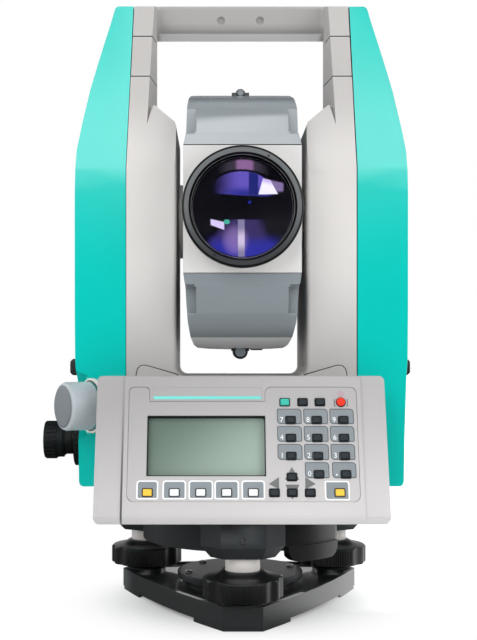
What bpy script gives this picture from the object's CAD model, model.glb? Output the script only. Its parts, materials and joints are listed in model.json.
import json
import math
import bmesh
import bpy
from mathutils import Matrix, Vector


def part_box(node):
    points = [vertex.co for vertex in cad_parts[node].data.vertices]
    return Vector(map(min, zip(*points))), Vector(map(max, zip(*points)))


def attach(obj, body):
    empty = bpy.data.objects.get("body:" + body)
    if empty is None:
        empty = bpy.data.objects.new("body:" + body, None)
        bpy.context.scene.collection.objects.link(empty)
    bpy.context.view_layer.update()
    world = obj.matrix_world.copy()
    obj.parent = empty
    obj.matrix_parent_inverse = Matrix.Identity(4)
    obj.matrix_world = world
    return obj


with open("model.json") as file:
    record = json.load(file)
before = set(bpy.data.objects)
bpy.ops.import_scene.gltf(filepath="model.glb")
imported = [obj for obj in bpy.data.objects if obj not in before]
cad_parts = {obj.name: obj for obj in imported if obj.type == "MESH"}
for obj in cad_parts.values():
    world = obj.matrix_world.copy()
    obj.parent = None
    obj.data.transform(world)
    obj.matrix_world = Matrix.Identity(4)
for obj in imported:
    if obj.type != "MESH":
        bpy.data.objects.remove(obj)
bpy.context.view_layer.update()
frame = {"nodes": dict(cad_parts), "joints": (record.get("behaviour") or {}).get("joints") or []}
NODES = frame["nodes"]
JOINTS = {joint["name"]: joint for joint in frame["joints"]}
MM = 0.001


# ---------- sizes and places in millimetres ----------
def corners(node):
    """Lowest and highest corner of a construction node."""
    return [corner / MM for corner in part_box(node)]


def joint_place(name):
    """Place of a joint of the record."""
    return Vector(JOINTS[name]["pos_m"]) / MM


# from the frame
AXIS_Z = joint_place("telescope_tilt").z        # telescope axis above the tripod head
PLATE_T = corners("base_plate")[1].z            # top of the base plate
DISC_Z = corners("centre_disc")[1].z            # top of the disc on it
_, LOBE_FRONT, LOBE_BOTTOM = corners("tribrach_body")[0]    # the lobes over the foot screws
COVER_X = corners("cover_right")[1].x           # outer face of a side cover
YOKE_X, YOKE_Y, POST_Z = corners("yoke")[1]     # side and front of the yoke, seam of the handle's foot
SCOPE_SEAM = corners("telescope_housing")[1].z - AXIS_Z     # covers of the telescope, from its axis
GLASS_R = corners("objective_lens")[1].x
RING_FRONT = -corners("objective_ring")[0].y    # front faces of ring and sights, from the vertical axis
SIGHT_FRONT = -corners("sights")[0].y
KNOB_END = joint_place("h_tangent_turn")        # outer end of the horizontal tangent knob
KNOB_AXIS = Vector(JOINTS["h_tangent_turn"]["axis"])        # outwards along it

# the same values as the construction
TILT = math.radians(18.65)
PANEL_ORIGIN = (0, -84, 53.6)
SHEET_W = -0.3                      # keyboard sheet below the face of the case
FIELD_X = 58.2                      # side of the keyboard field
DISPLAY_U, DISPLAY_V = -17.9, 39.1  # centre of the display on the panel
DISPLAY_Z = 90.6                    # and its height above the tripod head
KEY_W, KEY_H, KEY_CLEAR = 4.3, 3.3, 0.08
DOME_Z = 28.3                       # top of a foot screw's knob
YOKE_FLOOR = -83.9                  # floor between the standards, from the telescope axis
EAR_CLEAR = 0.45                    # gap round the ears of the front cover
SIGHT_UP, SIGHT_LOW = 68, -71.3     # axes of the two sights, from the telescope axis
JOINT_Z = 300.6                     # seam of the handle's posts
BAR_X = 44                          # half the length of the handle's bar


# ---------- shader building ----------
def lin(text):
    """Linear colour of a #rrggbb value."""
    rgb = []
    for i in (1, 3, 5):
        c = int(text[i:i + 2], 16) / 255
        rgb.append(c / 12.92 if c <= 0.04045 else ((c + 0.055) / 1.055) ** 2.4)
    return (*rgb, 1.0)


def scaled(colour, k):
    """The colour k times as bright."""
    return (*(min(c * k, 1) for c in colour[:3]), 1)


class Field:
    """A number that varies over a surface, with plain arithmetic."""

    def __init__(self, tree, socket):
        self.tree, self.socket = tree, socket

    def math(self, operation, *others):
        """The field put through a math node, with more fields or numbers as its other inputs."""
        node = self.tree.nodes.new("ShaderNodeMath")
        node.operation = operation
        self.tree.links.new(self.socket, node.inputs[0])
        for i, other in enumerate(others, 1):
            if isinstance(other, Field):
                self.tree.links.new(other.socket, node.inputs[i])
            else:
                node.inputs[i].default_value = other
        return Field(self.tree, node.outputs[0])

    def __add__(self, other):
        return self.math("ADD", other)

    def __sub__(self, other):
        return self.math("SUBTRACT", other)

    def __mul__(self, other):
        return self.math("MULTIPLY", other)

    def rise(self, low, high):
        """0 below low, 1 above high, smooth between them; low may be the larger one."""
        node = self.tree.nodes.new("ShaderNodeMapRange")
        node.interpolation_type = "SMOOTHSTEP"
        self.tree.links.new(self.socket, node.inputs["Value"])
        node.inputs["From Min"].default_value = low
        node.inputs["From Max"].default_value = high
        return Field(self.tree, node.outputs[0])

    def between(self, low, high, soft):
        """1 from low to high, with soft ends."""
        return self.rise(low - soft, low + soft) * self.rise(high + soft, high - soft)


def empty_material(name):
    """A new material with its node tree and its one shader."""
    m = bpy.data.materials.new(name)
    m.use_nodes = True
    tree = m.node_tree
    tree.nodes.clear()
    out = tree.nodes.new("ShaderNodeOutputMaterial")
    shader = tree.nodes.new("ShaderNodeBsdfPrincipled")
    tree.links.new(shader.outputs[0], out.inputs[0])
    return m, tree, shader


def coordinates(tree, origin=(0, 0, 0)):
    """Object coordinates in millimetres from origin, as three fields."""
    co = tree.nodes.new("ShaderNodeTexCoord")
    sep = tree.nodes.new("ShaderNodeSeparateXYZ")
    tree.links.new(co.outputs["Object"], sep.inputs[0])
    return [(Field(tree, sep.outputs[i]) * (1 / MM)) - origin[i] for i in range(3)]


def noise(tree, scale, detail, stretch=None):
    """Noise over the object; stretch scales its axes."""
    co = tree.nodes.new("ShaderNodeTexCoord")
    source = co.outputs["Object"]
    if stretch:
        mapping = tree.nodes.new("ShaderNodeMapping")
        mapping.inputs["Scale"].default_value = stretch
        tree.links.new(source, mapping.inputs["Vector"])
        source = mapping.outputs[0]
    node = tree.nodes.new("ShaderNodeTexNoise")
    node.inputs["Scale"].default_value = scale
    node.inputs["Detail"].default_value = detail
    tree.links.new(source, node.inputs["Vector"])
    return Field(tree, node.outputs["Fac"])


def mix(tree, factor, a, b):
    """Colour a where the field is 0, b where it is 1; a and b are colours or sockets."""
    node = tree.nodes.new("ShaderNodeMix")
    node.data_type = "RGBA"
    tree.links.new(factor.socket, node.inputs[0])
    for socket, value in ((node.inputs[6], a), (node.inputs[7], b)):
        if isinstance(value, (tuple, list)):
            socket.default_value = value
        else:
            tree.links.new(value, socket)
    return node.outputs[2]


def relief(tree, shader, field, strength):
    """Shades the surface as if the field were its height, over 0.4 mm."""
    node = tree.nodes.new("ShaderNodeBump")
    node.inputs["Strength"].default_value = strength
    node.inputs["Distance"].default_value = 0.4 * MM
    tree.links.new(field.socket, node.inputs["Height"])
    tree.links.new(node.outputs[0], shader.inputs["Normal"])


def finish_material(name, colour, rough, metal=0.0, vary=0.04, grain=1400, bump=0.05, coat=0.0,
                    coat_rough=0.1, spec=0.5, rough_vary=0.07, dust=0.0, brushed=None):
    """Moulded, painted or turned surface: slow tint change, fine grain in the relief and in the gloss."""
    m, tree, shader = empty_material(name)
    slow = noise(tree, 16, 4)
    fine = noise(tree, grain, 3, brushed)
    base = mix(tree, slow.rise(0.3, 0.7), scaled(colour, 1 - vary), scaled(colour, 1 + vary))
    if dust:
        # fine light specks, and a little dust on what faces up
        specks = noise(tree, grain * 0.6, 2).rise(0.6, 0.72)
        geometry = tree.nodes.new("ShaderNodeNewGeometry")
        sep = tree.nodes.new("ShaderNodeSeparateXYZ")
        tree.links.new(geometry.outputs["Normal"], sep.inputs[0])
        up = Field(tree, sep.outputs[2]).rise(0.35, 1.0) * noise(tree, 60, 5).rise(0.35, 0.75)
        base = mix(tree, (specks + up) * dust, base, lin("#a9a7a2"))
    tree.links.new(base, shader.inputs["Base Color"])
    gloss = tree.nodes.new("ShaderNodeMapRange")
    gloss.inputs["To Min"].default_value = max(rough - rough_vary, 0.02)
    gloss.inputs["To Max"].default_value = min(rough + rough_vary, 1)
    tree.links.new(fine.socket, gloss.inputs["Value"])
    tree.links.new(gloss.outputs[0], shader.inputs["Roughness"])
    if bump:
        relief(tree, shader, fine, bump)
    shader.inputs["Metallic"].default_value = metal
    shader.inputs["Specular IOR Level"].default_value = spec
    if coat:
        shader.inputs["Coat Weight"].default_value = coat
        shader.inputs["Coat Roughness"].default_value = coat_rough
    return m


def display_material():
    """Reflective display: green grey, lighter towards the lower right, with a faint dot matrix."""
    m, tree, shader = empty_material("display_glass")
    x, _, z = coordinates(tree, (DISPLAY_U, 0, DISPLAY_Z))
    along = x * 0.021 - z * 0.022
    base = mix(tree, along.rise(-0.75, 0.95), lin("#64766c"), lin("#a2b4aa"))
    dots = tree.nodes.new("ShaderNodeTexChecker")
    dots.inputs["Scale"].default_value = 3000
    co = tree.nodes.new("ShaderNodeTexCoord")
    tree.links.new(co.outputs["Object"], dots.inputs["Vector"])
    base = mix(tree, Field(tree, dots.outputs["Fac"]) * 0.02, base, lin("#4f6a5b"))
    tree.links.new(base, shader.inputs["Base Color"])
    shader.inputs["Roughness"].default_value = 0.25
    shader.inputs["Specular IOR Level"].default_value = 0.06
    return m


def tint(key, colour, where):
    """Blends another colour into a finish where the field of the coordinates says so."""
    tree = MATERIAL[key].node_tree
    shader = next(n for n in tree.nodes if n.type == "BSDF_PRINCIPLED")
    socket = shader.inputs["Base Color"]
    base = socket.links[0].from_socket
    tree.links.new(mix(tree, where(*coordinates(tree, (0, 0, AXIS_Z))), base, colour), socket)


def clear_glass():
    """Front glass of the objective, which hardly bends the light on its way to the coated element."""
    m, _, shader = empty_material("objective_glass")
    shader.inputs["Base Color"].default_value = (0.93, 0.93, 1, 1)
    shader.inputs["Roughness"].default_value = 0.0
    shader.inputs["Transmission Weight"].default_value = 1.0
    shader.inputs["IOR"].default_value = 1.035
    return m


def coated_element():
    """Inner lens faces: nearly black, with the violet and blue bands that their coatings send back.

    The fields are shares of the glass radius, from a point a little above the telescope axis.
    """
    m, tree, shader = empty_material("coated_lens")
    x, _, z = coordinates(tree, (0, 0, AXIS_Z + 1.1))
    x, z = x * (1 / GLASS_R), z * (1 / GLASS_R)
    rr = x * x + z * z
    # upper dome with a nearly level lower edge, bluer towards it
    sx, sz = x + 0.02, z - 0.2
    dome = (sx * sx * 2.5 + sz * sz * 4.7).rise(1.04, 0.94) * (z + x * 0.05).rise(0.2, 0.225)
    dome = dome * x.rise(-0.6, 0.0) * x.rise(0.6, 0.35)
    # crescent above it, brightest in the middle
    crescent = rr.rise(0.8, 0.72) * (sx * sx * 2.0 + sz * sz * 4.2).rise(0.98, 1.12) * z.rise(0.4, 0.62)
    crescent = crescent * x.between(-0.36, 0.4, 0.16)
    # bright window and its dimmer neighbour
    cut = x + z * 0.555
    head = z + x * 0.25
    window = (x - z * 0.289).rise(0.23, 0.25) * cut.rise(0.81, 0.79) * head.rise(0.63, 0.61)
    window = window * z.rise(0.215, 0.235)
    window_far = cut.rise(0.79, 0.81) * x.rise(0.8, 0.75) * head.rise(0.64, 0.6) * z.rise(0.24, 0.3)
    # lower half: violet that widens downwards, blue at the rim, a pale bar and a glow beside it
    depth = (z * -1) - 0.25
    low = z.rise(-0.24, -0.27) * rr.rise(0.99, 0.93)
    violet = low * (x + depth * 0.9).rise(-0.34, -0.12) * (x - depth * 0.35).rise(0.46, 0.2)
    blue = rr.rise(0.99, 0.93) * z.rise(-0.5, -0.82) * x.between(-0.6, 0.66, 0.14)
    gx, gz = x + 0.14, z + 0.66
    glow = low * (gx * gx * 1.4 + gz * gz).rise(0.13, -0.02)
    bar = x.between(-0.088, 0.04, 0.01) * low
    # small slanted patch at the left, a green spot beside it and a blue one near the middle
    patch = x.between(-0.61, -0.352, 0.014) * (z + x * 0.21).rise(-0.37, -0.39)
    patch = patch * (z + x * 0.353).rise(-0.59, -0.57)
    gx, gz = x + 0.302, z + 0.3
    spot = (gx * gx + gz * gz * 1.6).rise(0.0046, 0.0022)
    gx, gz = x - 0.136, z - 0.08
    far_spot = (gx * gx + gz * gz).rise(0.0013, 0.0004)
    colour = mix(tree, dome, (0.0015, 0.0015, 0.003, 1), lin("#6354b4"))
    colour = mix(tree, dome * z.rise(0.42, 0.24), colour, lin("#262c8c"))
    colour = mix(tree, dome * x.between(0.12, 0.3, 0.015), colour, lin("#20266e"))
    colour = mix(tree, crescent * 0.4, colour, lin("#5a5060"))
    colour = mix(tree, crescent * x.between(-0.12, 0.2, 0.05), colour, lin("#8a6490"))
    colour = mix(tree, window_far, colour, lin("#83709c"))
    colour = mix(tree, window, colour, lin("#f6f1ff"))
    colour = mix(tree, window * head.rise(0.5, 0.62), colour, lin("#c9b2e8"))
    colour = mix(tree, violet, colour, lin("#372c5c"))
    colour = mix(tree, blue, colour, lin("#2a2c98"))
    colour = mix(tree, glow * 0.75, colour, lin("#9177b4"))
    colour = mix(tree, bar, colour, lin("#837b9c"))
    colour = mix(tree, bar * z.between(-0.8, -0.5, 0.12), colour, lin("#cdc0d8"))
    colour = mix(tree, patch, colour, lin("#d9ccef"))
    colour = mix(tree, spot, colour, lin("#46b298"))
    colour = mix(tree, far_spot, colour, lin("#1b2c94"))
    tree.links.new(colour, shader.inputs["Emission Color"])
    shader.inputs["Base Color"].default_value = (0.001, 0.001, 0.001, 1)
    shader.inputs["Emission Strength"].default_value = 1.1
    shader.inputs["Roughness"].default_value = 0.2
    shader.inputs["Specular IOR Level"].default_value = 0.02
    return m


TEAL, WARM = lin("#00c0b5"), lin("#d4d1cf")
MATERIAL = {
    "teal": finish_material("teal_paint", TEAL, 0.14, vary=0.02, grain=1500, bump=0.005, spec=0.5,
                            rough_vary=0.03),
    "grey": finish_material("warm_grey_paint", WARM, 0.6, vary=0.02, grain=1700, bump=0.06, spec=0.12),
    "handle": finish_material("handle_plastic", scaled(WARM, 0.74), 0.55, vary=0.02, grain=1700, bump=0.08,
                              spec=0.15),
    "case": finish_material("panel_case_plastic", lin("#cbc9c9"), 0.5, vary=0.02, grain=1700, bump=0.07,
                            spec=0.15),
    "sheet": finish_material("membrane_film", lin("#c6c4c4"), 0.5, vary=0.015, grain=2200, bump=0.05,
                             spec=0.15),
    "white": finish_material("housing_paint", lin("#d3d2d1"), 0.4, vary=0.02, grain=1500, bump=0.03,
                             spec=0.3),
    "scope": finish_material("scope_cover_plastic", lin("#848c91"), 0.2, vary=0.02, grain=1500, bump=0.01,
                             spec=0.7, rough_vary=0.04),
    "knob": finish_material("blue_grey_plastic", lin("#abb3b8"), 0.36, vary=0.03, grain=1500, bump=0.04,
                            spec=0.3),
    "trib": finish_material("tribrach_paint", lin("#2b2e30"), 0.38, vary=0.06, grain=1300, bump=0.08,
                            spec=0.15, dust=0.01),
    "enamel": finish_material("black_enamel", lin("#282a2b"), 0.4, vary=0.03, grain=400, bump=0.0, coat=0.8,
                              coat_rough=0.05, spec=0.3, rough_vary=0.02),
    "black": finish_material("black_plastic", lin("#111213"), 0.36, vary=0.1, grain=1500, bump=0.06,
                             dust=0.01),
    "rubber": finish_material("black_rubber", lin("#101112"), 0.62, vary=0.1, grain=1900, bump=0.15,
                              spec=0.25),
    "dark": finish_material("recess_black", lin("#0b0c0d"), 0.6, vary=0.1, grain=1500, bump=0.05, spec=0.3),
    "steel": finish_material("turned_steel", lin("#c9c5c0"), 0.27, metal=1.0, vary=0.04, grain=260, bump=0.05,
                             brushed=(1, 1, 26)),
    "collar": finish_material("satin_collar", lin("#d2ceca"), 0.4, vary=0.03, grain=900, bump=0.03, spec=0.4),
    "bolt": finish_material("screw_steel", lin("#8b8d8e"), 0.3, metal=1.0, vary=0.08, grain=900, bump=0.04),
    "black_bolt": finish_material("blackened_screw", lin("#232526"), 0.34, metal=0.7, vary=0.1, grain=900,
                                  bump=0.04),
    "ring": finish_material("anodised_ring", lin("#0c0d0e"), 0.34, vary=0.04, grain=1200, bump=0.02,
                            spec=0.12),
    "pad": finish_material("printed_pad_grey", lin("#7f878c"), 0.5, vary=0.02, grain=2000, bump=0.03),
    "pad_dark": finish_material("printed_dark_line", lin("#4b5054"), 0.5, vary=0.03, grain=2000, bump=0.03),
    "ink": finish_material("printed_dark_grey", lin("#606263"), 0.5, vary=0.03, grain=2000, bump=0.03),
    "line": finish_material("printed_fine_line", lin("#9b9795"), 0.5, vary=0.03, grain=2000, bump=0.03),
    "white_ink": finish_material("printed_white", lin("#f0f1f2"), 0.5, vary=0.01, grain=2000, bump=0.03),
    "stripe": finish_material("printed_teal", lin("#72cfc9"), 0.5, vary=0.02, grain=2000, bump=0.03),
    "red_ink": finish_material("printed_red", lin("#b86f86"), 0.5, vary=0.02, grain=2000, bump=0.03),
    "lcd": display_material(),
    "glass": clear_glass(),
    "coated": coated_element(),
    "k_black": finish_material("key_black", lin("#20262a"), 0.4, grain=1600, bump=0.08, spec=0.15),
    "k_white": finish_material("key_white", lin("#eef1f1"), 0.42, vary=0.02, grain=1600, bump=0.06,
                               spec=0.15),
    "k_yellow": finish_material("key_yellow", lin("#f3c64c"), 0.42, vary=0.03, grain=1600, bump=0.06,
                                spec=0.15),
    "k_teal": finish_material("key_teal", lin("#43b9a8"), 0.42, vary=0.03, grain=1600, bump=0.06, spec=0.15),
    "k_red": finish_material("key_red", lin("#e53b28"), 0.38, vary=0.03, grain=1600, bump=0.06, spec=0.15),
    "vial": finish_material("vial_liquid", lin("#b5cf7a"), 0.1, coat=1.0, coat_rough=0.02, bump=0.0),
}
# shading of large surfaces; the places are millimetres, with z from the telescope axis
# the casting and its grey covers are darker low down, behind the keyboard, and high up
tint("grey", scaled(WARM, 0.72), lambda x, y, z: z.rise(-20, -75))
tint("grey", scaled(WARM, 0.78), lambda x, y, z: z.rise(30, 66))
# the handle's bar is darker than its posts and than its own underside
tint("handle", scaled(WARM, 0.57), lambda x, y, z: x.between(-BAR_X, BAR_X, 1.5))
tint("handle", lin("#f2f0f0"), lambda x, y, z: z.rise(101.5, 101.05) * x.between(-BAR_X, BAR_X, 1.5))
# paler band on the front of the objective ring, weaker below
tint("ring", lin("#66696b"), lambda x, y, z: (x * x + z * z).math("SQRT").between(26.7, 28.9, 0.12) *
     (z.rise(-26, 4) * 0.75 + 0.25))
# left end of the base plate, end face of the tangent knob, lowest bevel of the lower telescope cover
tint("enamel", lin("#666c6d"), lambda x, y, z: x.rise(-59, -69))
tint("knob", lin("#5f676c"), lambda x, y, z: (x * KNOB_AXIS.x + y * KNOB_AXIS.y).rise(102.3, 102.7))
tint("scope", lin("#f6f8fa"), lambda x, y, z: z.rise(-63.6, -64.2))
# shaded step beside the keyboard
tint("case", lin("#1d1d1e"), lambda x, y, z: x.between(-FIELD_X - 0.9, -FIELD_X + 0.15, 0.1) *
     z.rise(-160, -150))
# the keyboard case and its sheet are darker low down and towards the left
for part in ("case", "sheet"):
    tint(part, lin("#a4a2a3"), lambda x, y, z: z.rise(-152, -84) * 0.75 + x.rise(30, -90) * 0.35)

# ---------- finishes of the construction's own pieces ----------
FINISH = {
    "teal": ["cover_left", "cover_right", "battery_door_left", "battery_door_right"],
    "grey": ["yoke", "front_cover", "rear_cover"],
    "handle": ["handle"],
    "case": ["panel_case"],
    "sheet": ["keypad_sheet"],
    "lcd": ["lcd_window"],
    "white": ["telescope_housing"],
    "scope": ["scope_cover_top", "scope_cover_bottom"],
    "knob": ["h_tangent_knob", "v_tangent_knob"],
    "trib": ["tribrach_body", "centre_disc", "alidade_flange"],
    "enamel": ["base_plate"],
    "black": ["foot_screw_1", "foot_screw_2", "foot_screw_3", "clamp_lever", "plummet_barrel", "sights",
              "battery_latch_left", "battery_latch_right"],
    "rubber": ["plummet_ring", "plummet_eyepiece", "focus_ring", "eyepiece"],
    "ring": ["objective_ring"],
    "glass": ["objective_lens"],
    "vial": ["circular_level"],
    "k_yellow": ["key_esc", "key_enter"],
    "k_white": ["key_soft_1", "key_soft_2", "key_soft_3", "key_soft_4"],
    "k_teal": ["key_mode"],
    "k_red": ["key_power"],
}
finish_of = {node: key for key, nodes in FINISH.items() for node in nodes}
for node, obj in NODES.items():
    obj.data.materials.clear()
    obj.data.materials.append(MATERIAL[finish_of.get(node, "k_black")])


def rounded_edges(obj, width, segments):
    """Bevel of the sharp edges, in millimetres, with flat faces kept flat in the shading."""
    bevel = obj.modifiers.new("round", "BEVEL")
    bevel.width = width * MM
    bevel.segments = segments
    bevel.limit_method = "ANGLE"
    bevel.angle_limit = math.radians(32)
    bevel.use_clamp_overlap = True
    shading = obj.modifiers.new("shading", "WEIGHTED_NORMAL")
    shading.keep_sharp = False
    shading.weight = 80


def soften(node, width, segments):
    """Rounds the edges of a construction node; its own mesh stays as it is."""
    obj = NODES[node]
    obj.data.polygons.foreach_set("use_smooth", [True] * len(obj.data.polygons))
    weld = obj.modifiers.new("weld", "WELD")
    weld.merge_threshold = 0.000005
    rounded_edges(obj, width, segments)


# width in millimetres and segments of the rounding
EDGES = {
    "yoke": (0.5, 3), "handle": (0.55, 3), "cover_left": (0.6, 3), "cover_right": (0.6, 3),
    "front_cover": (0.8, 3), "rear_cover": (1.5, 3), "panel_case": (0.45, 3), "keypad_sheet": (0.1, 1),
    "battery_door_left": (0.4, 2), "battery_door_right": (0.4, 2), "telescope_housing": (0.5, 3),
    "scope_cover_top": (0.6, 3), "scope_cover_bottom": (0.6, 3), "h_tangent_knob": (0.3, 2),
    "v_tangent_knob": (0.7, 3), "base_plate": (0.8, 3), "centre_disc": (0.5, 2), "tribrach_body": (0.6, 3),
    "alidade_flange": (0.6, 3), "clamp_lever": (0.8, 3), "objective_ring": (0.12, 2), "sights": (0.25, 2),
    "foot_screw_1": (0.14, 1), "foot_screw_2": (0.14, 1), "foot_screw_3": (0.14, 1),
    "plummet_barrel": (0.3, 2), "plummet_ring": (0.3, 2), "plummet_eyepiece": (0.3, 2),
    "focus_ring": (0.3, 2), "eyepiece": (0.4, 2), "circular_level": (0.3, 2),
    "battery_latch_left": (0.6, 2), "battery_latch_right": (0.6, 2),
}
for node, (width, segments) in EDGES.items():
    soften(node, width, segments)
for node in NODES:
    if node.startswith("key_"):
        soften(node, 0.25 if node == "key_power" else 0.55, 3)


def darken_gap(node, wanted):
    """Matt black for the faces of a node that line a gap; wanted tests their centre and normal."""
    obj = NODES[node]
    obj.data.materials.append(MATERIAL["dark"])
    for face in obj.data.polygons:
        if wanted(face.center / MM, face.normal):
            face.material_index = 1


FACING = 0.9        # least share of a normal along an axis, for a face that looks along it
for node in ("cover_left", "cover_right"):
    darken_gap(node, lambda c, n: abs(c.x) < YOKE_X + 1.5 and abs(n.x) > FACING)
for node in ("scope_cover_top", "scope_cover_bottom"):
    darken_gap(node, lambda c, n: abs(n.z) > FACING and abs(c.z - AXIS_Z) < SCOPE_SEAM + 1)
for seam_z in (POST_Z, JOINT_Z):
    darken_gap("handle", lambda c, n: seam_z - 0.1 < c.z < seam_z + 0.6 and abs(c.x) > BAR_X + 2)


# ---------- mesh building, lengths in millimetres ----------
def skin(bm, a, b, closed=True):
    """Faces between two equal rows of vertices."""
    n = len(a)
    for i in range(n if closed else n - 1):
        j = (i + 1) % n
        bm.faces.new((a[i], a[j], b[j], b[i]))


def add_loops(bm, loops, matrix, closed=True):
    """Skins a row of equal point loops and returns their vertices."""
    rows = [[bm.verts.new(matrix @ (Vector(p) * MM)) for p in loop] for loop in loops]
    for a, b in zip(rows, rows[1:]):
        skin(bm, a, b, closed)
    return rows


def close_ends(bm, rows):
    """Closes the first and the last row of vertices with one face each."""
    bm.faces.new(list(reversed(rows[0])))
    bm.faces.new(rows[-1])


def prism(bm, outline, z0, z1, matrix):
    """A closed plate between z0 and z1."""
    close_ends(bm, add_loops(bm, [[(*p, z) for p in outline] for z in (z0, z1)], matrix))


def frame_prism(bm, outer, inner, z0, z1, matrix):
    """A flat frame between two outlines with the same number of points."""
    def at(points, z):
        return [(*p, z) for p in points]
    rows = add_loops(bm, [at(inner, z0), at(outer, z0), at(outer, z1), at(inner, z1)], matrix)
    skin(bm, rows[-1], rows[0])


def lathe(bm, profile, matrix, steps, closed=False):
    """Turns a profile of (radius, height) round the matrix's Z axis; it may start on the axis."""
    points = list(profile) + ([profile[0]] if closed else [])
    rows = []
    for r, z in points:
        ring = circle(0, 0, r, steps) if r else [(0, 0)]
        rows.append([bm.verts.new(matrix @ (Vector((*p, z)) * MM)) for p in ring])
    for a, b in zip(rows, rows[1:]):
        if len(a) == 1:
            for i in range(steps):
                bm.faces.new((a[0], b[(i + 1) % steps], b[i]))
        else:
            skin(bm, a, b)
    if closed:
        bmesh.ops.remove_doubles(bm, verts=bm.verts, dist=1e-8)


def rounded(points, radii, steps):
    """Outline of a convex polygon with rounded corners, with one radius or one for each corner."""
    out = []
    n = len(points)
    for i, p in enumerate(points):
        r = radii[i] if isinstance(radii, (list, tuple)) else radii
        p = Vector(p)
        a = (Vector(points[i - 1]) - p).normalized()
        b = (Vector(points[(i + 1) % n]) - p).normalized()
        half = a.angle(b) / 2
        centre = p + (a + b).normalized() * (r / math.sin(half))
        start, end = p + a * (r / math.tan(half)) - centre, p + b * (r / math.tan(half)) - centre
        turn = start.angle_signed(end)
        for k in range(steps + 1):
            t = -turn * k / steps
            c, s = math.cos(t), math.sin(t)
            out.append(tuple(centre + Vector((start.x * c - start.y * s, start.x * s + start.y * c))))
    return out


def rect(x0, y0, x1, y1, radii, steps=5):
    """Rounded rectangle; radii at lower left, lower right, upper right, upper left."""
    return rounded([(x0, y0), (x1, y0), (x1, y1), (x0, y1)], radii, steps)


def circle(cx, cy, r, steps, start=0.0):
    """Outline of a circle from the start angle on."""
    angles = [start + 2 * math.pi * i / steps for i in range(steps)]
    return [(cx + r * math.cos(a), cy + r * math.sin(a)) for a in angles]


def turned_to(origin, z_axis, x_axis=(1, 0, 0)):
    """Matrix whose Z is z_axis, placed at origin, in millimetres."""
    z = Vector(z_axis).normalized()
    x = Vector(x_axis)
    x = (x - z * x.dot(z)).normalized()
    y = z.cross(x)
    m = Matrix((x, y, z)).transposed().to_4x4()
    m.translation = Vector(origin) * MM
    return m


PANEL = turned_to(PANEL_ORIGIN, (0, -math.cos(TILT), math.sin(TILT)))
FRONT = turned_to((0, 0, AXIS_Z), (0, -1, 0))     # seen from the front: x right, y up, z towards the viewer


def piece(name, bm, finish, body, bevel=0.0, smooth=True):
    """Finishes a mesh piece and lets it ride on its body."""
    bmesh.ops.recalc_face_normals(bm, faces=bm.faces)
    me = bpy.data.meshes.new(name)
    bm.to_mesh(me)
    bm.free()
    me.materials.append(MATERIAL[finish])
    me.polygons.foreach_set("use_smooth", [smooth] * len(me.polygons))
    obj = bpy.data.objects.new(name, me)
    bpy.context.scene.collection.objects.link(obj)
    if bevel:
        rounded_edges(obj, bevel, 1)
    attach(obj, body)


# ---------- keyboard print and trim ----------
# places on the panel: u to the right, v up the panel
PRINT_Z = SHEET_W + 0.05            # top of the print
PRINT_FOOT = SHEET_W - 0.05         # its underside, inside the sheet
COLUMNS = [(16.65, 28.75), (29.6, 41.6), (42.4, 54.3)]
ROWS = [(49.9, 57.7), (41.0, 48.9), (32.0, 39.9)]
PADS = [(c, r) for r in ROWS for c in COLUMNS] + [((29.7, 41.5), (23.0, 30.9)), ((42.8, 54.5), (23.0, 30.9))]
DOT_PAD = PADS[10]                  # pad of the decimal point
DIGITS = "7894561230"               # in the order of the pads
SOFT_PADS = [(-51.25, -41.0), (-38.7, -27.7), (-26.2, -14.7), (-13.8, -2.3), (-0.8, 10.2), (39.1, 50.8)]
SOFT_V, ENTER_V = (12.85, 21.8), (12.4, 21.6)
# middles of the lips round the keys: bottom row, top row, numbers, arrows
KEYS_UV = [(-46.1, 16), (-33.2, 16), (-20.5, 16), (-8.1, 16), (4.7, 16), (46.2, 16),
           (20.6, 61), (29.4, 61), (37.9, 61)]
KEYS_UV += [(u, v) for v in (51.9, 42.9, 33.9) for u in (23.3, 36.1, 49.1)]
KEYS_UV += [(36.4, 24.9), (49.4, 24.9), (23.4, 23.6), (14.8, 15.9), (23.4, 15.9), (32, 15.9)]
POWER_UV, POWER_R = (48.2, 61), 2.05


def key_hole(u, v, grow):
    """Outline of a key, wider by grow on each side."""
    w, h = KEY_W / 2 + grow, KEY_H / 2 + grow
    return rect(u - w, v - h, u + w, v + h, 0.25 + grow, 3)


def number_pads():
    """Grey pads with a dark line round them; two of their corners are cut more."""
    corners = [1.9, 0.8, 1.9, 0.8]
    fill, rims = bmesh.new(), bmesh.new()
    for (u0, u1), (v0, v1) in PADS:
        outer = rect(u0, v0, u1, v1, corners)
        inner = rect(u0 + 0.42, v0 + 0.42, u1 - 0.42, v1 - 0.42, [r - 0.35 for r in corners])
        prism(fill, inner, PRINT_FOOT, PRINT_Z, PANEL)
        frame_prism(rims, outer, inner, PRINT_FOOT, PRINT_Z + 0.05, PANEL)
    piece("number_pads", fill, "pad", "alidade", smooth=False)
    piece("number_pad_lines", rims, "pad_dark", "alidade", smooth=False)


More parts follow.
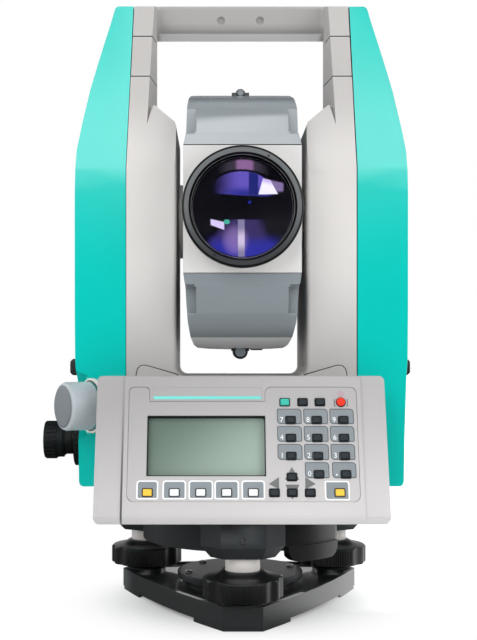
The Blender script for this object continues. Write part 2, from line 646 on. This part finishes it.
def soft_pads():
    """Pads of the bottom row; the last one belongs to the enter key and is cut like the number pads."""
    fill, rims = bmesh.new(), bmesh.new()
    for u0, u1 in SOFT_PADS:
        last = (u0, u1) == SOFT_PADS[-1]
        v0, v1 = ENTER_V if last else SOFT_V
        corners = [1.5, 0.8, 1.5, 0.8] if last else [1.0, 1.0, 1.5, 1.5]
        outer = rect(u0 - 0.15, v0 - 0.15, u1 + 0.15, v1 + 0.15, corners)
        inner = rect(u0 + 0.55, v0 + 0.55, u1 - 0.55, v1 - 0.55, [r - 0.5 for r in corners])
        prism(fill, inner, PRINT_FOOT, PRINT_Z, PANEL)
        frame_prism(rims, outer, inner, PRINT_FOOT, PRINT_Z + 0.05, PANEL)
    piece("soft_key_pads", fill, "pad", "alidade", smooth=False)
    piece("soft_key_lines", rims, "white_ink", "alidade", smooth=False)


def key_seals():
    """Dark rubber lip round each key."""
    bm = bmesh.new()
    grow = KEY_CLEAR + 0.02
    lips = [(key_hole(u, v, 0.5), key_hole(u, v, grow)) for u, v in KEYS_UV]
    lips.append((circle(*POWER_UV, POWER_R + 0.42, 32), circle(*POWER_UV, POWER_R + grow, 32)))
    for outer, inner in lips:
        frame_prism(bm, outer, inner, SHEET_W - 0.1, SHEET_W + 0.28, PANEL)
    piece("key_seals", bm, "rubber", "alidade", bevel=0.08)


def arrow_marks():
    """Triangles that point away from the arrow keys."""
    bm = bmesh.new()
    shapes = [
        [(19.9, 22.3), (26.9, 22.3), (23.4, 28.6)],
        [(20.1, 19.9), (23.4, 12.6), (26.9, 19.9)],
        [(12.2, 20.2), (17.1, 17.6), (17.1, 23.6)],
        [(29.7, 17.6), (34.7, 20.2), (29.7, 23.6)],
    ]
    for shape in shapes:
        prism(bm, rounded(shape, 0.12, 2), PRINT_FOOT, PRINT_Z, PANEL)
    piece("arrow_marks", bm, "ink", "alidade", smooth=False)


def digits():
    """Plain numbers at the lower left of the pads."""
    for text, ((u0, _), (v0, _)) in zip(DIGITS, PADS):
        curve = bpy.data.curves.new("digit_" + text, "FONT")
        curve.body = text
        curve.size = 3.6 * MM
        curve.extrude = 0.03 * MM
        curve.resolution_u = 3
        curve.materials.append(MATERIAL["white_ink"])
        obj = bpy.data.objects.new("digit_" + text, curve)
        bpy.context.scene.collection.objects.link(obj)
        obj.matrix_world = PANEL @ Matrix.Translation(Vector((u0 + 1.35, v0 + 1.05, PRINT_Z + 0.02)) * MM)
        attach(obj, "alidade")


def small_marks():
    """Decimal point, the marks beside the power key and the power symbol over it."""
    (dot_u, _), (dot_v, _) = DOT_PAD
    bm = bmesh.new()
    prism(bm, circle(dot_u + 2.2, dot_v + 1.7, 0.42, 16), SHEET_W, PRINT_Z + 0.05, PANEL)
    piece("decimal_mark", bm, "white_ink", "alidade", smooth=False)
    bm = bmesh.new()
    u, v = POWER_UV
    for s in (-1, 1):
        for y0, y1, x0, x1 in ((-1.9, 1.6, 3.0, 3.4), (-2.1, -1.75, 2.4, 3.4)):
            a, b = sorted((u + s * x0, u + s * x1))
            prism(bm, [(a, v + y0), (b, v + y0), (b, v + y1), (a, v + y1)], SHEET_W, PRINT_Z, PANEL)
    piece("power_brackets", bm, "pad_dark", "alidade", smooth=False)
    bm = bmesh.new()
    v += 4.3
    steps = 20
    # ring of the power symbol, open at the top, and its stroke
    a0, a1 = math.radians(125), math.radians(415)
    angles = [a0 + (a1 - a0) * i / steps for i in range(steps + 1)]
    outer = [(u + 1.45 * math.cos(a), v + 1.3 * math.sin(a)) for a in angles]
    inner = [(u + 1.15 * math.cos(a), v + 1.0 * math.sin(a)) for a in angles]
    for i in range(steps):
        prism(bm, [inner[i], outer[i], outer[i + 1], inner[i + 1]], SHEET_W, PRINT_Z, PANEL)
    stroke = [(u - 0.15, v + 0.1), (u + 0.15, v + 0.1), (u + 0.15, v + 1.6), (u - 0.15, v + 1.6)]
    prism(bm, stroke, SHEET_W, PRINT_Z, PANEL)
    piece("power_mark", bm, "red_ink", "alidade", smooth=False)


def name_band():
    """Bare band at the top left with its teal stripe, and the fine line round it."""
    bm = bmesh.new()
    u0, v0, u1, v1, line = -44.6, 61.9, 9.6, 68.6, 0.25
    outer = rect(u0, v0, u1, v1, [1.6, 1.2, 0.8, 0.8])
    inner = rect(u0 + line, v0 + line, u1 - line, v1 - line, [1.4, 1.0, 0.6, 0.6])
    frame_prism(bm, outer, inner, -0.05, 0.06, PANEL)
    piece("name_band_line", bm, "line", "alidade", smooth=False)
    bm = bmesh.new()
    stripe = rect(u0 + 0.5, v0 + 0.5, u1 - 0.5, v0 + 2.1, [1.2, 0.8, 0.15, 0.15])
    prism(bm, stripe, -0.05, 0.05, PANEL)
    piece("name_band_stripe", bm, "stripe", "alidade", smooth=False)


def display_lining():
    """Dark walls of the display recess."""
    def outline(w, h, radius):
        return rect(DISPLAY_U - w, DISPLAY_V - h, DISPLAY_U + w, DISPLAY_V + h, radius)
    half_w, half_h, wall = 28.45, 14.65, 0.4
    inner, outer = outline(half_w, half_h, 1.0), outline(half_w + wall, half_h + wall, 1.2)
    bm = bmesh.new()
    frame_prism(bm, outer, inner, -3.78, SHEET_W - 0.12, PANEL)
    piece("display_lining", bm, "dark", "alidade", smooth=False)


number_pads()
soft_pads()
key_seals()
arrow_marks()
digits()
small_marks()
name_band()
display_lining()


# ---------- objective ----------
def objective():
    """Coated inner element, bright retaining edge and the two spanner holes of the ring."""
    bm = bmesh.new()
    edge_z, depth, steps = 61.6, 3.6, 12
    r_edge = GLASS_R - 1.15
    shares = [i / steps for i in range(steps + 1)]
    lathe(bm, [(r_edge * t, edge_z - depth * (1 - t ** 2)) for t in shares], FRONT, 96)
    piece("coated_element", bm, "coated", "telescope")
    bm = bmesh.new()
    r, z, w = 25.45, 66.35, 0.15
    lathe(bm, [(r - w, z), (r, z + w), (r + w, z), (r, z - w)], FRONT, 128, closed=True)
    piece("lens_bright_edge", bm, "bolt", "telescope")
    bm = bmesh.new()
    hole_r = 27.6
    for a in (math.radians(63), math.radians(240)):
        hole = circle(hole_r * math.cos(a), hole_r * math.sin(a), 0.55, 20)
        prism(bm, hole, RING_FRONT - 0.2, RING_FRONT + 0.04, FRONT)
    piece("spanner_holes", bm, "dark", "telescope", smooth=False)


def telescope_trim():
    """Faces of the sights and the cord loop beside the lower one."""
    bm = bmesh.new()
    for y, r in ((SIGHT_LOW, 2.75), (SIGHT_UP, 1.6)):
        prism(bm, circle(0, y, r, 32), SIGHT_FRONT - 0.1, SIGHT_FRONT + 0.15, FRONT)
    piece("sight_windows", bm, "pad", "telescope", smooth=False)
    bm = bmesh.new()
    frame_prism(bm, rect(5, -70.5, 12.2, -68, 1.2), rect(5.7, -69.8, 11.5, -68.7, 0.5), 9.5, 12.5, FRONT)
    piece("cord_loop", bm, "black_bolt", "telescope", bevel=0.15)


def ear_gaps():
    """Dark line in the gap round each ear of the front cover."""
    g = EAR_CLEAR
    ear = [(54.6, -5), (54.3, 1), (53.6, 3.7), (52, 5.3), (50, 5.5), (47.5, 4.9), (33, 0.6)]
    gap = [(g, 0), (g, 0.1), (0.4, 0.25), (0.3, 0.3), (0, g), (0, g), (0, g)]
    front = YOKE_Y + 0.06
    bm = bmesh.new()
    for side in (-1, 1):
        inner = [(side * x, YOKE_FLOOR + y, front) for x, y in ear]
        outer = [(side * (x + dx), YOKE_FLOOR + y + dy, front) for (x, y), (dx, dy) in zip(ear, gap)]
        add_loops(bm, [inner, outer], FRONT, closed=False)
    piece("ear_gaps", bm, "dark", "alidade", smooth=False)


def tangent_collar():
    """Light collar behind the horizontal tangent knob, with a black ring towards the knob."""
    place = turned_to(KNOB_END, KNOB_AXIS, (0, 0, 1))
    bm = bmesh.new()
    profile = [(12.2, -15.9), (12.2, -15.5), (13.9, -15.5), (14.1, -15.7), (14.1, -17.6), (13.3, -17.6)]
    lathe(bm, profile, place, 64, closed=True)
    piece("tangent_collar", bm, "collar", "alidade")
    bm = bmesh.new()
    lathe(bm, [(12.6, -15.6), (12.6, -15.42), (13.0, -15.42), (13.0, -15.6)], place, 64, closed=True)
    piece("tangent_ring", bm, "dark", "alidade")


# ---------- small fasteners ----------
def socket_head(bm, matrix, r, h):
    """Cap screw with a hexagon socket; its seat is the matrix's XY plane."""
    n = 24
    ring = circle(0, 0, 1, n)
    hexagon = []
    for i, (x, y) in enumerate(ring):
        a = 2 * math.pi * i / n
        k = math.cos(math.pi / 6) / math.cos((a + math.pi / 6) % (math.pi / 3) - math.pi / 6)
        hexagon.append((k * x, k * y))
    rim, bottom = h - 0.18 * r, h - 0.55 * r
    # outline, its share of the radius and its height
    levels = [(ring, 1, -0.3), (ring, 1, rim), (ring, 0.86, h), (hexagon, 0.56, h), (hexagon, 0.52, bottom)]
    loops = [[(x * r * share, y * r * share, z) for x, y in outline] for outline, share, z in levels]
    close_ends(bm, add_loops(bm, loops, matrix))


def screws(name, places, r, h, finish, body):
    """One piece of cap screws; places holds an origin and an axis for each."""
    bm = bmesh.new()
    for origin, axis in places:
        socket_head(bm, turned_to(origin, axis, (1, 0, 0) if axis[2] else (0, 0, 1)), r, h)
    piece(name, bm, finish, body, smooth=False)


def levelling_base():
    """Collars and washers of the foot screws, screws of the disc and the drum, thread of the socket."""
    for i, letter in enumerate("abc", 1):
        body = "foot_screw_" + letter
        x, y, _ = joint_place(body + "_turn")
        place = turned_to((x, y, 0), (0, 0, 1))
        bm = bmesh.new()
        low, high = DOME_Z + 0.05, LOBE_BOTTOM - 0.2
        profile = [(7.6, low), (8.4, low), (8.65, low + 0.25), (8.65, high - 0.25), (8.4, high), (7.6, high)]
        lathe(bm, profile, place, 64, closed=True)
        piece(f"collar_{i}", bm, "collar", body)
        bm = bmesh.new()
        foot = PLATE_T - 0.1
        profile = [(7.6, foot), (11.2, foot), (11.2, foot + 0.6), (10.6, foot + 1.1), (7.6, foot + 1.3)]
        lathe(bm, profile, place, 64, closed=True)
        piece(f"spring_washer_{i}", bm, "trib", "base")
    heads = [(*p, DISC_Z) for p in circle(0, 0, 29, 6, math.radians(15))]
    screws("disc_screws", [(head, (0, 0, 1)) for head in heads], 2.1, 0.9, "bolt", "base")
    screws("set_screw", [((0, LOBE_FRONT, 45), (0, -1, 0))], 1.8, 0.25, "bolt", "base")
    # grooves of the thread as plain rings
    bm = bmesh.new()
    foot, pitch, turns, r0, r1 = 0.8, 1.5, 6, 6.78, 6.0
    profile = [(r0, foot)]
    for i in range(turns):
        profile += [(r1, foot + pitch * (i + 0.5)), (r0 - 0.05, foot + pitch * (i + 1))]
    lathe(bm, profile, Matrix.Identity(4), 48)
    piece("tripod_thread", bm, "steel", "base")


def level_vial():
    """Domed glass of the circular level, its two circles and the bubble."""
    lowest, highest = corners("circular_level")
    centre, top = (lowest + highest) / 2, highest.z
    place = turned_to((centre.x, centre.y, 0), (0, 0, 1))
    bm = bmesh.new()
    lathe(bm, [(0, top - 0.35), (3, top - 0.42), (5, top - 0.6), (6.15, top - 0.95)], place, 48)
    piece("vial_glass", bm, "vial", "base")
    bm = bmesh.new()
    high, low = top - 0.34, top - 0.5
    for r in (2.1, 3.6):
        lathe(bm, [(r, high), (r + 0.18, high), (r + 0.18, low), (r, low)], place, 48, closed=True)
    piece("vial_circles", bm, "dark", "base")
    bm = bmesh.new()
    lathe(bm, [(0, top - 0.2), (1.1, top - 0.25), (1.7, top - 0.4)], place, 32)
    piece("vial_bubble", bm, "white_ink", "base")


def housing_screws():
    """Four screws on the outer face of each side cover."""
    x = COVER_X - 0.1
    heads = [((side * x, y, z), (side, 0, 0)) for side in (-1, 1) for y in (-28, 32.5) for z in (142, 208)]
    screws("side_cover_screws", heads, 1.9, 0.35, "black_bolt", "alidade")


objective()
telescope_trim()
ear_gaps()
tangent_collar()
levelling_base()
level_vial()
housing_screws()


# ---------- camera, floor and light ----------
scene = bpy.context.scene
scene.view_settings.view_transform = "Standard"
camera_data = bpy.data.cameras.new("camera")
camera = bpy.data.objects.new("camera", camera_data)
scene.collection.objects.link(camera)
# a level camera, square to the front; its shifts put the object in the frame
camera.location = (-0.0132, -0.610, 0.137)
camera.rotation_euler = (math.radians(90), 0, 0)
camera_data.lens = 62.4
camera_data.sensor_width = 36
camera_data.shift_x, camera_data.shift_y = 0.0352, 0.0469
camera_data.clip_start = 0.01
scene.camera = camera


def straight_view(tree):
    """1 for the rays that look at the background itself, from the camera or through glass."""
    path = tree.nodes.new("ShaderNodeLightPath")
    seen = Field(tree, path.outputs["Is Camera Ray"])
    return seen.math("MAXIMUM", Field(tree, path.outputs["Is Transmission Ray"]))


def any_view(tree):
    """The same, with reflections."""
    path = tree.nodes.new("ShaderNodeLightPath")
    return straight_view(tree).math("MAXIMUM", Field(tree, path.outputs["Is Glossy Ray"]))


def white_world():
    """White for the camera, even light for matt surfaces and a studio for the gloss."""
    world = bpy.data.worlds.new("studio")
    scene.world = world
    world.use_nodes = True
    tree = world.node_tree
    tree.nodes.clear()
    out = tree.nodes.new("ShaderNodeOutputWorld")
    share = tree.nodes.new("ShaderNodeMixShader")
    soft, back = tree.nodes.new("ShaderNodeBackground"), tree.nodes.new("ShaderNodeBackground")
    soft.inputs["Strength"].default_value = 0.45
    soft.inputs["Color"].default_value = back.inputs["Color"].default_value = (1, 1, 1, 1)
    # what the gloss mirrors: a dark room behind the photographer with a soft box in it, and a pale wall
    # behind the object
    co = tree.nodes.new("ShaderNodeTexCoord")
    sep = tree.nodes.new("ShaderNodeSeparateXYZ")
    tree.links.new(co.outputs["Generated"], sep.inputs[0])
    side, depth, height = (Field(tree, sep.outputs[i]) for i in range(3))
    # the box is dimmer in its upper corners
    corner = side.math("ABSOLUTE").rise(0.04, 0.09) * (height.rise(0.34, 0.4) * 0.6 + 0.2) * -1 + 1
    soft_box = height.rise(0.08, 0.35) * depth.rise(-0.2, -0.5) * corner * 7
    behind = depth.rise(-0.45, 0.1) * height.rise(0.45, 0.25) * 0.85
    room = behind.math("MAXIMUM", soft_box) + 0.02
    tree.links.new(room.math("MAXIMUM", straight_view(tree)).socket, back.inputs["Strength"])
    tree.links.new(any_view(tree).socket, share.inputs[0])
    tree.links.new(soft.outputs[0], share.inputs[1])
    tree.links.new(back.outputs[0], share.inputs[2])
    tree.links.new(share.outputs[0], out.inputs[0])


def white_floor():
    """Matt floor that keeps the shadow near the object and turns plain white further out."""
    m, tree, shader = empty_material("floor")
    shader.inputs["Base Color"].default_value = (0.95, 0.95, 0.95, 1)
    shader.inputs["Roughness"].default_value = 0.9
    x, y, _ = coordinates(tree)
    distance = (x * x + y * y).math("SQRT")
    glow = tree.nodes.new("ShaderNodeEmission")
    share = tree.nodes.new("ShaderNodeMixShader")
    out = next(n for n in tree.nodes if n.type == "OUTPUT_MATERIAL")
    # in reflections the floor is pale only behind the object at the right
    table = x.rise(10, 60) * y.rise(-90, -10) * 1.2 + 0.03
    tree.links.new(table.math("MAXIMUM", straight_view(tree)).socket, glow.inputs["Strength"])
    mirrored = any_view(tree) - straight_view(tree)
    plain = distance.rise(25, 100) * straight_view(tree)
    tree.links.new(plain.math("MAXIMUM", mirrored).socket, share.inputs[0])
    tree.links.new(shader.outputs[0], share.inputs[1])
    tree.links.new(glow.outputs[0], share.inputs[2])
    tree.links.new(share.outputs[0], out.inputs[0])
    bm = bmesh.new()
    bmesh.ops.create_grid(bm, x_segments=1, y_segments=1, size=6)
    me = bpy.data.meshes.new("floor")
    bm.to_mesh(me)
    bm.free()
    me.materials.append(m)
    obj = bpy.data.objects.new("floor", me)
    scene.collection.objects.link(obj)
    obj.location = (0, 0, -0.0002)


def area_light(name, place, target, size, power, height=None, mirrored=True):
    """Area light turned to its target, lengths in metres; mirrored lets the gloss show it."""
    data = bpy.data.lights.new(name, "AREA")
    data.shape = "RECTANGLE"
    data.size, data.size_y = size, height or size
    data.energy = power
    obj = bpy.data.objects.new(name, data)
    scene.collection.objects.link(obj)
    obj.visible_glossy = mirrored
    obj.location = place
    obj.rotation_euler = (Vector(target) - Vector(place)).to_track_quat("-Z", "Y").to_euler()


white_world()
white_floor()
area_light("key", (-0.5, -1.1, 0.8), (0, 0, 0.17), 0.7, 6.5, 0.9, mirrored=False)
area_light("fill", (0.8, -0.9, 0.5), (0, 0, 0.17), 0.7, 4.5, 0.9, mirrored=False)
area_light("top", (0, 0.1, 1.2), (0, 0, 0.2), 0.9, 6, mirrored=False)
area_light("side_left", (-1.0, 0.25, 0.3), (0, 0, 0.15), 0.6, 4, 0.9)
area_light("side_right", (1.0, 0.25, 0.3), (0, 0, 0.15), 0.6, 4, 0.9)
